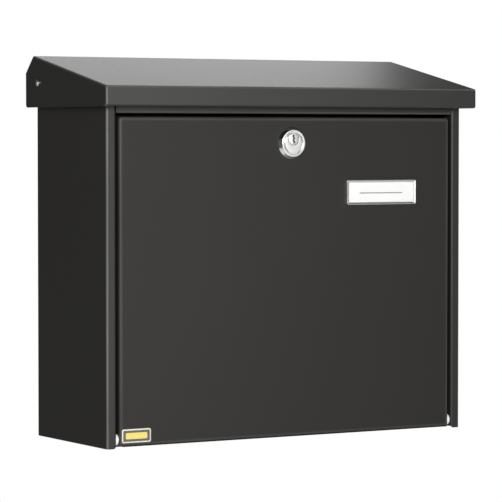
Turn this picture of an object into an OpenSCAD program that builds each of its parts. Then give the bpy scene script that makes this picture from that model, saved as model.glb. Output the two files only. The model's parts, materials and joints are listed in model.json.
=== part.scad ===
// Wall mounted letterbox: folded sheet-steel housing, hinged roof lid over an open top,
// bottom-hinged front door with a cam lock, and four spacers that hold it off the wall.
// Frame: X to the right, Y into the wall (the wall plane is Y = 0), Z up,
// origin at the centre of the four wall screws, on the wall plane.

/* [Housing] */
// Width of the housing across its two side walls
body_w = 347; // [340:1:360]
// Depth of the housing from its front face to its back panel
body_d = 127; // [124:1:135]
// Sheet thickness of every folded steel part, coating included
sheet_t = 1; // [0.9:0.1:1.1]
// Inner radius of every fold
bend_r = 0.8; // [0.6:0.1:1]
// Visible width of the folded frame strips beside the door
strip_w = 8.75; // [8:0.25:9]
// Depth of the return flanges behind the frame strips
return_d = 14; // [13.5:0.1:14]

/* [Lid] */
// How far the lid stands out past each side wall
lid_side_over = 7.5; // [7:0.25:9]
// How far the lid lip stands out in front of the housing
lid_front_over = 14; // [12:1:16]
// How far the lid flaps reach behind the back panel
lid_back_over = 5.5; // [4:0.5:5.5]
// Height of the lid's lower edge above the housing's bottom
lid_low_z = 278.5; // [277:0.5:280]
// Height of the lip's top edge
lip_top_z = 295; // [294:1:296]
// Height of the ridge at the back of the roof
ridge_z = 322; // [321:1:323]
// Distance of the ridge behind the front face
ridge_y = 119; // [118:1:120]
// Height at which the flaps' rear bevel ends
bevel_z = 309; // [308:1:310]
// Distance of the lid pivot behind the front face
lid_pivot_y = 110; // [109:0.5:110.5]
// Height of the lid pivot
lid_pivot_z = 299; // [298:0.5:300]

/* [Door] */
// Gap between the door and the frame around it
door_gap = 3; // [2.8:0.1:3.2]
// Height of the door's lower edge
door_low_z = 1.5; // [1.4:0.1:1.8]
// Height of the door's upper edge
door_top_z = 270; // [269:0.5:271]
// Depth of the door's side and top flanges
pan_d = 12; // [11:0.5:12]
// Depth of the door's bottom flange
pan_low_d = 7.5; // [7:0.1:7.5]
// Distance of the door pivot behind the front face
door_pivot_y = 6; // [5.8:0.1:6.2]
// Height of the door pivot
door_pivot_z = 7; // [6.8:0.1:7.2]
// Diameter of the white pivot pins
door_pin_d = 5; // [4.6:0.1:5]

/* [Lock] */
// Sideways place of the lock from the middle of the door
lock_x = 2; // [-2:0.5:3]
// Height of the lock's centre
lock_z = 248.5; // [247:0.5:249]
// Diameter of the lock's face ring at its front
lock_face_d = 23; // [22:0.5:24]
// Diameter of the face ring where it meets the door
lock_base_d = 27; // [26:0.5:28]
// How far the lock stands out from the door
lock_proud = 3.6; // [3:0.2:5]
// Diameter of the turning plug
plug_d = 10; // [9.4:0.2:10]
// Height of the plug's axis above the centre of the lock
plug_up = 3.4; // [3:0.1:3.6]
// Length of the locking cam from the plug's axis
cam_l = 28; // [26:1:29]

/* [Name plate and badge] */
// Width of the name plate
name_w = 70; // [64:1:72]
// Height of the name plate
name_h = 21; // [18:1:22]
// Sideways place of the name plate's centre
name_x = 91; // [80:1:100]
// Height of the name plate's centre
name_z = 206.5; // [200:0.5:210]
// Width of the small badge
badge_w = 27; // [24:1:30]
// Height of the small badge
badge_h = 11.5; // [10:0.5:12]

/* [Wall mounting] */
// Distance between the wall screws from side to side
screw_dx = 260; // [240:5:280]
// Distance between the wall screws from top to bottom
screw_dz = 180; // [160:5:200]
// Diameter of the wall screw holes
screw_d = 6.5; // [5.5:0.5:7]
// Height of the spacers that hold the housing off the wall
spacer_h = 8; // [8:0.5:10]
// Height of the screw pattern's centre above the housing's bottom
mount_z = 150; // [145:1:155]

/* [Hidden] */
$fn = 48;

coat = [0.17, 0.165, 0.155];
inner_w = body_w - 2 * sheet_t;
half_w = body_w / 2;
return_x = half_w - strip_w;          // outer face of each return flange, facing the door
door_w = 2 * (return_x - door_gap);
lid_w = body_w + 2 * lid_side_over;
roof_slope = (ridge_z - lip_top_z) / (ridge_y + lid_front_over);
header_low_z = door_top_z + door_gap;
header_top_z = 290;
sill_d = 14;                          // depth of the header's top flange
side_top_gap = 4.4;                   // from the roof's top face down to the side walls' edge
back_top_z = 307.5;                   // top edge of the back panel, clear of the roof when the lid is up
fit = 0.05;                           // radial clearance of a running fit
plug_z = lock_z + plug_up;
barrel_d = 19;
barrel_flat = 16;                     // across the barrel's flats
barrel_l = 14.2;
washer_t = 0.8;
cam_t = 2;
cam_front_y = barrel_l + washer_t + 0.2;
cam_back_y = cam_front_y + cam_t;
cam_square = 5;
stop_r = 6.8;                         // from the plug's axis to the stop pin's axis
lid_pin_d = 4;
door_collar_d = 9.2;                  // white collar in the gap beside the door
floor_lip_z = 12;                     // top of the floor's front lip
slot_back_y = 49;                     // rear edge of the letter slot
guard_front_z = 272;
guard_back_z = 300;
guard_lip_z = 258;                    // lower edge of the guard's front lip
rivet_z = 289;                        // rivets that hold the guard plate to the back panel
rivet_d = 3.2;
name_rim = 1.8;                       // width of the name plate's rim
name_floor = 0.6;                     // thickness of its back
name_proud = 2.6;                     // how far it stands out from the door
name_inner = [name_w - 2 * name_rim, name_h - 2 * name_rim];
cut = 0.5;                            // how far a cutting shape passes a face
big = 1000;

// Lid section in (Y, Z) along the middle of the sheet
lid_back_y = body_d + lid_back_over;
lid_lip_y = -lid_front_over + sheet_t / 2;
roof_drop = sheet_t / 2 * norm([1, roof_slope]);
bevel_slope = (bevel_z - ridge_z) / (lid_back_y - ridge_y);
bevel_drop = sheet_t / 2 * norm([1, bevel_slope]);
ridge_mid_y = ridge_y + (roof_drop - bevel_drop) / (roof_slope - bevel_slope);

// Height of the roof's top face at a distance behind the front face.
function roof_z(y) = lip_top_z + (y + lid_front_over) * roof_slope;

// Height of the middle of the rear bevel's sheet at a distance behind the front face.
function bevel_mid_z(y) = ridge_z + (y - ridge_y) * bevel_slope - bevel_drop;

// From workbench coordinates (Y back from the front face, Z up from the bottom edge) to the frame.
module placed() {
    translate([0, -(body_d + spacer_h), -mount_z]) children();
}

module both_sides() {
    children();
    mirror([1, 0, 0]) children();
}

// Turns a shape drawn up +Z so that it runs back along +Y from the point given.
module back_from(x, y, z) {
    translate([x, y, z]) rotate([-90, 0, 0]) children();
}

// Turns a shape drawn up +Z so that it runs out along +X from the point given.
module out_from(x, y, z) {
    translate([x, y, z]) rotate([0, 90, 0]) children();
}

// Extrudes a shape drawn in (Y, Z) along X, centred.
module across(w) {
    translate([-w / 2, 0, 0]) rotate([90, 0, 90]) linear_extrude(w) children();
}

function unit(v) = v / norm(v);
function side_of(v) = [-v[1], v[0]];
function turn(a, b) = atan2(a[0] * b[1] - a[1] * b[0], a * b);

// Points round one bend at p, from direction d0 to d1, on the left (side 1) or right (-1) of the sheet.
function bend_points(p, d0, d1, side) =
    let (
        r = bend_r + sheet_t / 2,
        a = turn(d0, d1),
        hand = sign(a),
        centre = p - d0 * r * tan(abs(a) / 2) + side_of(d0) * r * hand,
        start = atan2(d0[1], d0[0]) - 90 * hand,
        steps = 6
    )
    [for (k = [0 : steps]) let (b = start + a * k / steps)
        centre + (r - side * hand * sheet_t / 2) * [cos(b), sin(b)]];

// One face of a sheet whose centreline is p.
function rim_points(p, d, side) = [
    p[0] + side * side_of(d[0]) * sheet_t / 2,
    for (i = [1 : len(p) - 2]) each bend_points(p[i], d[i - 1], d[i], side),
    p[len(p) - 1] + side * side_of(d[len(p) - 2]) * sheet_t / 2,
];

// A folded sheet's section: straight runs along the centreline p, joined by round bends.
module folded(p) {
    d = [for (i = [0 : len(p) - 2]) unit(p[i + 1] - p[i])];
    left = rim_points(p, d, 1);
    right = rim_points(p, d, -1);
    polygon(concat(left, [for (i = [len(right) - 1 : -1 : 0]) right[i]]));
}

// Side wall outline in (Y, Z): the top edge runs under the roof and drops behind the pivot.
module side_outline() {
    polygon([
        [-cut, 0], [-cut, roof_z(-cut) - side_top_gap],
        [lid_pivot_y, roof_z(lid_pivot_y) - side_top_gap],
        [body_d, back_top_z], [body_d + cut, back_top_z], [body_d + cut, 0],
    ]);
}

// One folded sheet: frame strips with their return flanges, side walls and back panel.
module body_wrap() {
    c = sheet_t / 2;
    corner_r = 3;
    color(coat) placed() difference() {
        union() {
            intersection() {
                linear_extrude(ridge_z) folded([
                    [-return_x - c, return_d], [-return_x - c, c], [-half_w + c, c],
                    [-half_w + c, body_d - c], [half_w - c, body_d - c],
                    [half_w - c, c], [return_x + c, c], [return_x + c, return_d],
                ]);
                across(body_w + 2) side_outline();
            }
            back_top_flange();
        }
        both_sides() {
            // rounded lower inner corner of each frame strip
            translate([return_x - cut, -cut, -cut]) difference() {
                cube([corner_r + cut, return_d + 2 * cut, corner_r + cut]);
                back_from(corner_r + cut, -cut, corner_r + cut) cylinder(r = corner_r, h = return_d + 3);
            }
            out_from(return_x - cut, door_pivot_y, door_pivot_z)
                cylinder(d = door_pin_d + 2 * fit, h = sheet_t + 2 * cut);
            out_from(half_w - 2 * sheet_t, lid_pivot_y, lid_pivot_z)
                cylinder(d = lid_pin_d + 2 * fit, h = 3 * sheet_t);
        }
        wall_screws() back_from(0, body_d - 2 * sheet_t, 0) cylinder(d = screw_d, h = 3 * sheet_t);
        rivet_places() cylinder(d = rivet_d + 0.1, h = 6 * sheet_t, center = true);
    }
}

// Stiffening flange along the back panel's top edge, folded forward.
module back_top_flange() {
    flange_d = 10;
    translate([-inner_w / 2, body_d - sheet_t - flange_d, back_top_z - 2 * sheet_t])
        cube([inner_w, flange_d + sheet_t / 2, sheet_t]);
}

module wall_screws() {
    for (x = [-1, 1], z = [-1, 1])
        translate([x * screw_dx / 2, 0, mount_z + z * screw_dz / 2]) children();
}

// Floor tray: welded between the side walls, with a front lip that also stops the door.
module floor_panel() {
    lip_w = 319;
    lip_y = door_pivot_y + 5.9;
    notch_y = return_d + 1;
    weld_h = 11;
    c = sheet_t / 2;
    color(coat) placed() {
        across(lip_w) folded([[lip_y + c, floor_lip_z], [lip_y + c, c], [body_d - sheet_t, c]]);
        both_sides() {
            translate([lip_w / 2, notch_y, 0])
                cube([inner_w / 2 - lip_w / 2, body_d - sheet_t - notch_y, sheet_t]);
            translate([inner_w / 2 - sheet_t, notch_y + 3, 0])
                cube([sheet_t, body_d - sheet_t - notch_y - 6, weld_h]);
        }
    }
}

// Header: the frame strip above the door, with the flange that the lock's cam grips and the sill.
module front_header() {
    c = sheet_t / 2;
    color(coat) placed() {
        across(2 * return_x) folded([
            [return_d, header_low_z + c], [c, header_low_z + c],
            [c, header_top_z - c], [sill_d, header_top_z - c],
        ]);
        // end tabs, welded to the return flanges
        both_sides() translate([return_x - sheet_t, c, header_low_z + c])
            cube([sheet_t, return_d - 2, header_top_z - header_low_z - sheet_t]);
    }
}

// Guard plate: leaves a letter slot behind the header and keeps hands out of the box.
module mail_guard() {
    c = sheet_t / 2;
    side_gap = 2.5;
    w = inner_w - 2 * side_gap;
    tab_h = 7;
    back = body_d - sheet_t - c;
    front = [slot_back_y + c, guard_front_z];
    top = [back, guard_back_z];
    slope = (top[1] - front[1]) / (top[0] - front[0]);
    inset = [3, 3 * slope];
    side_h = 9;
    end_inset = 0.3;
    color(coat) placed() difference() {
        union() {
            across(w) folded([[back, rivet_z - tab_h], top, front, [front[0], guard_lip_z]]);
            both_sides() translate([w / 2 - sheet_t - end_inset, 0, 0]) rotate([90, 0, 90])
                linear_extrude(sheet_t) polygon([
                    front + inset, top - inset, top - inset - [0, side_h], front + inset - [0, side_h],
                ]);
        }
        rivet_places() cylinder(d = rivet_d + 0.1, h = 6 * sheet_t, center = true);
    }
}

// Rivets through the back panel: children are drawn towards the wall, from its inner face.
module rivet_places() {
    for (x = [-150, -50, 50, 150]) back_from(x, body_d - sheet_t, rivet_z) children();
}

module guard_rivets() {
    color("silver") placed() rivet_places() {
        translate([0, 0, sheet_t + 0.02]) intersection() {
            cylinder(d = 6.5, h = 1.4);
            translate([0, 0, -3.2]) sphere(r = 4.6);
        }
        translate([0, 0, -sheet_t - 1]) cylinder(d = rivet_d, h = 2 * sheet_t + 1.2);
        translate([0, 0, -sheet_t - 2.42]) cylinder(d = 4.8, h = 2.4);
    }
}

module wall_spacers() {
    color([0.08, 0.08, 0.08]) placed() wall_screws() back_from(0, body_d, 0) difference() {
        cylinder(d1 = 18, d2 = 20, h = spacer_h);
        translate([0, 0, -cut]) cylinder(d = screw_d, h = spacer_h + 2 * cut);
    }
}

// Rubber buffers on the sill, which the closed lid rests on.
module lid_buffers() {
    y = 7;
    h = roof_z(y) - sheet_t * norm([1, roof_slope]) - header_top_z - 0.9;
    color([0.06, 0.06, 0.06]) placed()
        for (x = [-105, 105]) translate([x, y, header_top_z]) cylinder(d1 = 9, d2 = 6, h = h);
}

// Lid pivot pin: domed head outside the flap, shank through flap, bush and side wall.
module lid_pin() {
    color("silver") placed() {
        out_from(half_w - 2.8, lid_pivot_y, lid_pivot_z)
            cylinder(d = lid_pin_d, h = lid_side_over + 2.8 + 0.1);
        out_from(lid_w / 2 + 0.1, lid_pivot_y, lid_pivot_z) intersection() {
            cylinder(d = 6, h = 1.5);
            translate([0, 0, -2.4]) sphere(r = 3.9);
        }
    }
}
module lid_pin_left() { mirror([1, 0, 0]) lid_pin(); }
module lid_pin_right() { lid_pin(); }

module lid_bushes() {
    color("white") placed() both_sides() out_from(half_w, lid_pivot_y, lid_pivot_z) difference() {
        cylinder(d = 9, h = lid_side_over - sheet_t - 0.15);
        translate([0, 0, -cut]) cylinder(d = lid_pin_d + 2 * fit, h = lid_side_over);
    }
}

// Push-on clips that hold the lid pins inside the side walls.
module lid_pin_clips() {
    clip_t = 0.8;
    color("silver") placed() both_sides()
        out_from(half_w - sheet_t - clip_t - 0.1, lid_pivot_y, lid_pivot_z) difference() {
            cylinder(d = 9, h = clip_t);
            translate([0, 0, -cut]) cylinder(d = lid_pin_d + 2 * fit, h = clip_t + 2 * cut);
        }
}

// White nylon pivot: snap head behind the return flange, collar in the gap, spigot in the door.
module door_pivot() {
    head_t = 1.6;
    spigot_l = 4;
    color("white") placed() {
        out_from(return_x - door_gap - spigot_l, door_pivot_y, door_pivot_z)
            cylinder(d = door_pin_d, h = spigot_l + door_gap + sheet_t + 0.1);
        out_from(return_x - door_gap + 0.2, door_pivot_y, door_pivot_z)
            cylinder(d = door_collar_d, h = door_gap - 0.25);
        out_from(return_x + sheet_t + 0.05, door_pivot_y, door_pivot_z)
            cylinder(d1 = 7.5, d2 = 6, h = head_t);
    }
}
module door_pivot_left() { mirror([1, 0, 0]) door_pivot(); }
module door_pivot_right() { door_pivot(); }

// Lid flap: it meets the sheet inside its thickness; the lower rear corner is rounded.
module flap_outline() {
    inset = 0.2;
    r = 3;
    polygon([
        [lid_lip_y + inset, lid_low_z], [lid_lip_y + inset, roof_z(lid_lip_y) - roof_drop - inset],
        [ridge_mid_y, bevel_mid_z(ridge_mid_y) - inset], [lid_back_y, bevel_mid_z(lid_back_y) - inset],
        for (a = [0 : 15 : 90]) [lid_back_y - r + r * cos(a), lid_low_z + r - r * sin(a)],
    ]);
}

// Lid: lip with a folded-in hem, sloping roof, rear bevel and two side flaps.
module lid_cover() {
    hem = 5;
    bevel_end_y = lid_back_y - 0.9;
    color(coat) placed() difference() {
        union() {
            across(lid_w) folded([
                [lid_lip_y + hem, lid_low_z + sheet_t / 2], [lid_lip_y, lid_low_z + sheet_t / 2],
                [lid_lip_y, roof_z(lid_lip_y) - roof_drop], [ridge_mid_y, bevel_mid_z(ridge_mid_y)],
                [bevel_end_y, bevel_mid_z(bevel_end_y)],
            ]);
            both_sides() translate([lid_w / 2 - sheet_t, 0, 0]) rotate([90, 0, 90])
                linear_extrude(sheet_t) flap_outline();
        }
        both_sides() out_from(lid_w / 2 - sheet_t - cut, lid_pivot_y, lid_pivot_z)
            cylinder(d = lid_pin_d + 2 * fit, h = sheet_t + 2 * cut);
    }
}

// Door tray: face with side, top and bottom flanges; each lower corner is an ear for the pivot.
module door_panel() {
    c = sheet_t / 2;
    h = door_top_z - door_low_z;
    ear_r = 8;
    color(coat) placed() difference() {
        union() {
            difference() {
                translate([0, 0, door_low_z]) linear_extrude(h) folded([
                    [-door_w / 2 + c, pan_d], [-door_w / 2 + c, c],
                    [door_w / 2 - c, c], [door_w / 2 - c, pan_d],
                ]);
                // the flanges' lower rear corners, rounded about the pivot
                translate([0, door_pivot_y, door_pivot_z]) difference() {
                    translate([-door_w, 2, -ear_r - 2]) cube([2 * door_w, ear_r, ear_r + 2]);
                    rotate([0, 90, 0]) cylinder(r = ear_r, h = 3 * door_w, center = true);
                }
            }
            translate([-door_w / 2 + c, c, door_top_z - sheet_t]) cube([door_w - sheet_t, pan_d - c, sheet_t]);
            translate([-door_w / 2 + c, c, door_low_z]) cube([door_w - sheet_t, pan_low_d - c, sheet_t]);
        }
        both_sides() out_from(door_w / 2 - sheet_t - cut, door_pivot_y, door_pivot_z)
            cylinder(d = door_pin_d + 2 * fit, h = sheet_t + 2 * cut);
        back_from(lock_x, -cut, lock_z) intersection() {
            cylinder(d = barrel_d + 0.4, h = sheet_t + 2 * cut);
            translate([-barrel_flat / 2 - 0.2, -big / 2, 0]) cube([barrel_flat + 0.4, big, big]);
        }
        name_studs() cylinder(d = 3.2, h = 3 * sheet_t, center = true);
    }
}

module name_studs() {
    for (x = [-1, 1]) back_from(name_x + x * (name_w / 2 - 6), 0, name_z) children();
}

// Lock housing: conical face ring with a groove, flat-sided barrel, off-centre plug bore, stop pin.
module lock_body() {
    pin_r = 0.9;
    color([0.8, 0.8, 0.8]) placed() difference() {
        union() {
            back_from(lock_x, -lock_proud, lock_z) cylinder(d1 = lock_face_d, d2 = lock_base_d, h = lock_proud);
            intersection() {
                back_from(lock_x, -1, lock_z) cylinder(d = barrel_d, h = barrel_l + 1);
                translate([lock_x - barrel_flat / 2, -1, 0]) cube([barrel_flat, barrel_l + 1, big]);
            }
            back_from(lock_x, barrel_l - 1, plug_z - stop_r) cylinder(r = pin_r, h = 1 + washer_t);
        }
        back_from(lock_x, -lock_proud - cut, plug_z) cylinder(d = plug_d + 2 * fit, h = barrel_l + lock_proud + 2);
        back_from(lock_x, -lock_proud - cut, lock_z) difference() {
            cylinder(d = 18.6, h = 0.8 + cut);
            cylinder(d = 16.8, h = 0.8 + cut);
        }
    }
}

module lock_nut() {
    color("silver") placed() back_from(lock_x, sheet_t + 0.05, lock_z) difference() {
        cylinder(d = 24 / cos(30), h = 3, $fn = 6);
        translate([0, 0, -cut]) cylinder(d = barrel_d + 2 * fit, h = 4);
    }
}

// Plug: keyway in its face, square drive for the cam and a threaded end for the nut.
module lock_plug() {
    face_y = -lock_proud + 0.2;
    key_h = 7;
    color([0.85, 0.85, 0.85]) placed() difference() {
        union() {
            back_from(lock_x, face_y, plug_z) cylinder(d = plug_d, h = barrel_l - face_y);
            translate([lock_x - cam_square / 2, barrel_l - 1, plug_z - cam_square / 2])
                cube([cam_square, cam_back_y - barrel_l + 1, cam_square]);
            back_from(lock_x, cam_back_y - 1, plug_z) cylinder(d = 4.9, h = 6);
        }
        translate([lock_x - 1.1, face_y - cut, plug_z + 0.6]) cube([1.8, 12, key_h / 2]);
        translate([lock_x - 0.2, face_y - cut, plug_z - key_h / 2 + 0.9]) cube([1.2, 12, key_h / 2]);
    }
}

// Stop washer: its notch runs on the housing's pin and lets the cam turn a quarter turn.
module stop_washer() {
    outer_r = 8;
    inner_r = stop_r - 1.2;
    notch_from = -99.5;
    notch_to = 9.5;
    color("silver") placed() translate([lock_x, barrel_l + 0.1, plug_z]) mirror([1, 0, 0]) difference() {
        rotate([-90, 0, 0]) cylinder(r = outer_r, h = washer_t);
        square_hole(washer_t);
        rotate([90, 0, 0]) translate([0, 0, -washer_t - cut]) rotate(notch_from - 90)
            rotate_extrude(angle = notch_to - notch_from) translate([inner_r, 0])
                square([outer_r, washer_t + 2 * cut]);
    }
}

module square_hole(t) {
    w = cam_square + 0.1;
    translate([-w / 2, -cut, -w / 2]) cube([w, t + 2 * cut, w]);
}

// Cam: at rest it points sideways, unlocked; turned a quarter it stands behind the header's flange.
module lock_cam() {
    tip_r = 6;
    color("silver") placed() translate([lock_x, cam_front_y, plug_z]) mirror([1, 0, 0]) difference() {
        union() {
            rotate([-90, 0, 0]) cylinder(r = 8, h = cam_t);
            translate([0, 0, -tip_r]) cube([cam_l - tip_r, cam_t, 2 * tip_r]);
            translate([cam_l - tip_r, 0, 0]) rotate([-90, 0, 0]) cylinder(r = tip_r, h = cam_t);
        }
        square_hole(cam_t);
    }
}

module cam_nut() {
    color("silver") placed() back_from(lock_x, cam_back_y + 0.05, plug_z) difference() {
        cylinder(d = 8 / cos(30), h = 4, $fn = 6);
        translate([0, 0, -cut]) cylinder(d = 5, h = 5);
    }
}

// A flat slab in front of the door: its back at -y, centred on the name plate.
module name_slab(w, h, y, t) {
    translate([name_x - w / 2, -y - t, name_z - h / 2]) cube([w, t, h]);
}

module name_frame() {
    color([0.75, 0.75, 0.75]) placed() {
        difference() {
            name_slab(name_w, name_h, 0, name_proud);
            name_slab(name_inner[0], name_inner[1], name_floor, name_proud);
        }
        name_studs() cylinder(d = 3, h = sheet_t + 2);
    }
}

module name_card() {
    color("white") placed() name_slab(name_inner[0] - 0.4, name_inner[1] - 0.4, name_floor + 0.05, 0.3);
}

module name_window() {
    color([0.9, 0.95, 1, 0.4]) placed()
        name_slab(name_inner[0] - 0.2, name_inner[1] - 0.2, name_floor + 0.45, 0.8);
}

// Small plain badge in the door's lower left corner: a raised rim round a blank field.
module badge_plate() {
    x = -door_w / 2 + 1.5;
    z = door_low_z + 2.8;
    rim = 0.9;
    r = 1.5;
    color([0.1, 0.1, 0.1]) placed() translate([x, -0.8, z]) difference() {
        union() {
            translate([r, 0, 0]) cube([badge_w - 2 * r, 0.8, badge_h]);
            translate([0, 0, r]) cube([badge_w, 0.8, badge_h - 2 * r]);
            for (cx = [r, badge_w - r], cz = [r, badge_h - r]) back_from(cx, 0, cz) cylinder(r = r, h = 0.8);
        }
        translate([rim, -cut, rim]) cube([badge_w - 2 * rim, 0.25 + cut, badge_h - 2 * rim]);
    }
}

body_wrap();
floor_panel();
front_header();
mail_guard();
guard_rivets();
wall_spacers();
lid_buffers();
lid_pin_left();
lid_pin_right();
lid_bushes();
lid_pin_clips();
door_pivot_left();
door_pivot_right();
lid_cover();
door_panel();
lock_body();
lock_nut();
name_frame();
name_card();
name_window();
badge_plate();
lock_plug();
stop_washer();
lock_cam();
cam_nut();
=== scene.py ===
"""Looks for a wall mounted letterbox in folded sheet steel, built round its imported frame.

Sections follow the order in which the letterbox is put together. Shapes are worked out in bench
millimetres, X to the right, Y back from the housing's front face and Z up from its bottom edge,
and bench_to_frame puts them in the frame.
"""
import json
import math

import bmesh
import bpy
import numpy as np
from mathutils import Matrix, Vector


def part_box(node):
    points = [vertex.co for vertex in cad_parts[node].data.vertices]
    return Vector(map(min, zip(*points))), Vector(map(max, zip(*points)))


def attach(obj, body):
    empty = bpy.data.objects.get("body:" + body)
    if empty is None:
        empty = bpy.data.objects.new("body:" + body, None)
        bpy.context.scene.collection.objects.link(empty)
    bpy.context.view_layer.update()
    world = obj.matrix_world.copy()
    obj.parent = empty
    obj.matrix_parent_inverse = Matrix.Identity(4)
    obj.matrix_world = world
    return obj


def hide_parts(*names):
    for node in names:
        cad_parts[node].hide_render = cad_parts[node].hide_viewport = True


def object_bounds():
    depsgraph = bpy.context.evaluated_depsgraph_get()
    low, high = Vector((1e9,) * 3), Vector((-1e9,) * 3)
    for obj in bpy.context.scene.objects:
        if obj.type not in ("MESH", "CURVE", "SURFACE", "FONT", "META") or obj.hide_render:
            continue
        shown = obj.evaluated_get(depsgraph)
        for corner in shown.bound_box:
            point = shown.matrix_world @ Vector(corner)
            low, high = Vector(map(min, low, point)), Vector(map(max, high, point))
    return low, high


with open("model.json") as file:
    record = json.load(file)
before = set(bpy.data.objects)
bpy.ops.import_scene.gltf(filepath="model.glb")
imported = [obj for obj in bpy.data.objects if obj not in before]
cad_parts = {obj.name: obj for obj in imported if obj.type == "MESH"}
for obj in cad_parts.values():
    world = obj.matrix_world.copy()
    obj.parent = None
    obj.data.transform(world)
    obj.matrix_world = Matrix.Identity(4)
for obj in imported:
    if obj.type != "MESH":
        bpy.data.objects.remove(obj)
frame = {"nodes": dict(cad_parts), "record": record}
cad_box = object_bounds()
scene = bpy.context.scene

# ---------------------------------------------------------------- studio
# A long lens from the front left, in a white surround that only the camera sees. A soft light and a
# card stand in front, for the door, and two more behind, for the sloping lid and the left folds.
scene.view_settings.view_transform = "Standard"

CAMERA_AT = Vector((-1.2171, -2.1284, 0.1032))
CAMERA_AIM = Vector((-0.0062, -0.0815, 0.0061))
LENS_MM, SENSOR_MM = 199.3, 36
SIGHT = 50            # metres that the camera sees
ROOM_FILL = 0.10      # strength of the surround's light on the letterbox


def set_up(name, data, at, aim):
    """A camera or a light at one point, turned to look at another."""
    stand = bpy.data.objects.new(name, data)
    stand.location = at
    stand.rotation_euler = (Vector(aim) - Vector(at)).to_track_quat("-Z", "Y").to_euler()
    scene.collection.objects.link(stand)
    return stand


def softbox(name, at, aim, size, power):
    """A rectangular area light at one point, facing another, that the camera doesn't see."""
    data = bpy.data.lights.new(name, "AREA")
    data.shape = "RECTANGLE"
    data.size, data.size_y = size
    data.energy = power
    set_up(name, data, at, aim).visible_camera = False


camera_data = bpy.data.cameras.new("studio_camera")
camera_data.lens = LENS_MM
camera_data.sensor_width = SENSOR_MM
camera_data.clip_end = SIGHT
scene.camera = set_up("studio_camera", camera_data, CAMERA_AT, CAMERA_AIM)

softbox("front_light", at=(-0.85, -1.75, 0.5), aim=(-0.1, -0.1, 0), size=(1.3, 0.4), power=35)
softbox("right_card", at=(0.68, -2.2, 0.0), aim=(0, -0.1, 0.05), size=(0.9, 1.3), power=8.3)
softbox("lid_light", at=(0.34, 0.85, 0.56), aim=(-0.05, -0.05, 0.16), size=(0.75, 0.5), power=2.35)
softbox("left_strip", at=(-1.25, 0.12, -0.1), aim=(-0.17, -0.1, 0), size=(0.12, 0.9), power=1.4)

world = bpy.data.worlds.new("studio_surround")
world.use_nodes = True
world_nodes = world.node_tree.nodes
world_nodes.clear()
ray = world_nodes.new("ShaderNodeLightPath")
seen = world_nodes.new("ShaderNodeBackground")
seen.inputs["Color"].default_value = (1, 1, 1, 1)
felt = world_nodes.new("ShaderNodeBackground")
felt.inputs["Color"].default_value = (1, 0.99, 0.97, 1)
felt.inputs["Strength"].default_value = ROOM_FILL
pick = world_nodes.new("ShaderNodeMixShader")
world_out = world_nodes.new("ShaderNodeOutputWorld")
world.node_tree.links.new(ray.outputs["Is Camera Ray"], pick.inputs[0])
world.node_tree.links.new(felt.outputs[0], pick.inputs[1])
world.node_tree.links.new(seen.outputs[0], pick.inputs[2])
world.node_tree.links.new(pick.outputs[0], world_out.inputs["Surface"])
scene.world = world

# ---------------------------------------------------------------- housing sheet
# One sheet of 1 mm steel, folded into frame strips, side walls and back panel, then powder coated
# in anthracite. Its folds, its corners and its cut edges are all rounded by the coat.
MM = 0.001
SHEET = 1.0          # sheet and coat together
FOLD = 1.8           # outer radius of a fold
RIM = 0.28           # how far the coat rounds a cut edge
LEAD = 1.6           # how far the paler thin coat and painted highlight of a fold fade into the flat
MERGE = 1e-7         # metres within which two points of a new piece become one
TINY = 1e-6          # a turn or a distance below this counts as none

wrap_low, wrap_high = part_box("body_wrap")


def bench_to_frame(points):
    """Bench millimetres to frame metres: scaled, then moved to the housing's front bottom edge."""
    return np.asarray(points, float) * MM + np.array([0, wrap_low.y, wrap_low.z])


def bench_box(name):
    """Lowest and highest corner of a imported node, in bench millimetres."""
    return [(np.array(corner) - [0, wrap_low.y, wrap_low.z]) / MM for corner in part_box(name)]


def fold(corners, radius, steps=8, lead=LEAD):
    """A line through corners whose turns are arcs, with each point's left normal and fold weight.

    An arc starts and ends radius * tan(turn / 2) from its corner, and steps evenly round the centre
    that lies radius to the side it turns to. A support point stands lead before and after it.
    The weight rises to 1 in the middle of an arc and is 0 elsewhere.
    """
    corners = np.asarray(corners, float)
    along = np.diff(corners, axis=0)
    length = np.linalg.norm(along, axis=1, keepdims=True)
    along = along / length
    left = np.stack([-along[:, 1], along[:, 0]], -1)
    points, normals, weights = [corners[:1]], [left[:1]], [np.zeros(1)]
    for i in range(1, len(corners) - 1):
        a, b = along[i - 1], along[i]
        turn = math.atan2(a[0] * b[1] - a[1] * b[0], a @ b)
        if abs(turn) < TINY:
            points.append(corners[i:i + 1])
            normals.append(left[i:i + 1])
            weights.append(np.zeros(1))
            continue
        hand = math.copysign(1, turn)
        start = corners[i] - a * radius * math.tan(abs(turn) / 2)
        end = corners[i] + b * radius * math.tan(abs(turn) / 2)
        centre = start + left[i - 1] * radius * hand
        angle = turn * np.linspace(0, 1, steps + 1)
        out = -left[i - 1] * hand
        spoke = (np.outer(np.cos(angle), out)
                 + np.outer(np.sin(angle), [-out[1], out[0]]))
        points += [(start - a * lead)[None], centre + radius * spoke, (end + b * lead)[None]]
        normals += [left[i - 1:i], -spoke * hand, left[i:i + 1]]
        weights += [np.zeros(1), np.sin(math.pi * np.linspace(0, 1, steps + 1)), np.zeros(1)]
    points.append(corners[-1:])
    normals.append(left[-1:])
    weights.append(np.zeros(1))
    return np.concatenate(points), np.concatenate(normals), np.concatenate(weights)


def grid_faces(rows, columns, wrap=False):
    """Quads between neighbours in a rows x columns grid of points, closed across columns if wrap."""
    index = np.arange(rows * columns).reshape(rows, columns)
    if wrap:
        index = np.concatenate([index, index[:, :1]], axis=1)
    corners = [index[:-1, :-1], index[:-1, 1:], index[1:, 1:], index[1:, :-1]]
    return np.stack(corners, -1).reshape(-1, 4)


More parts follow.
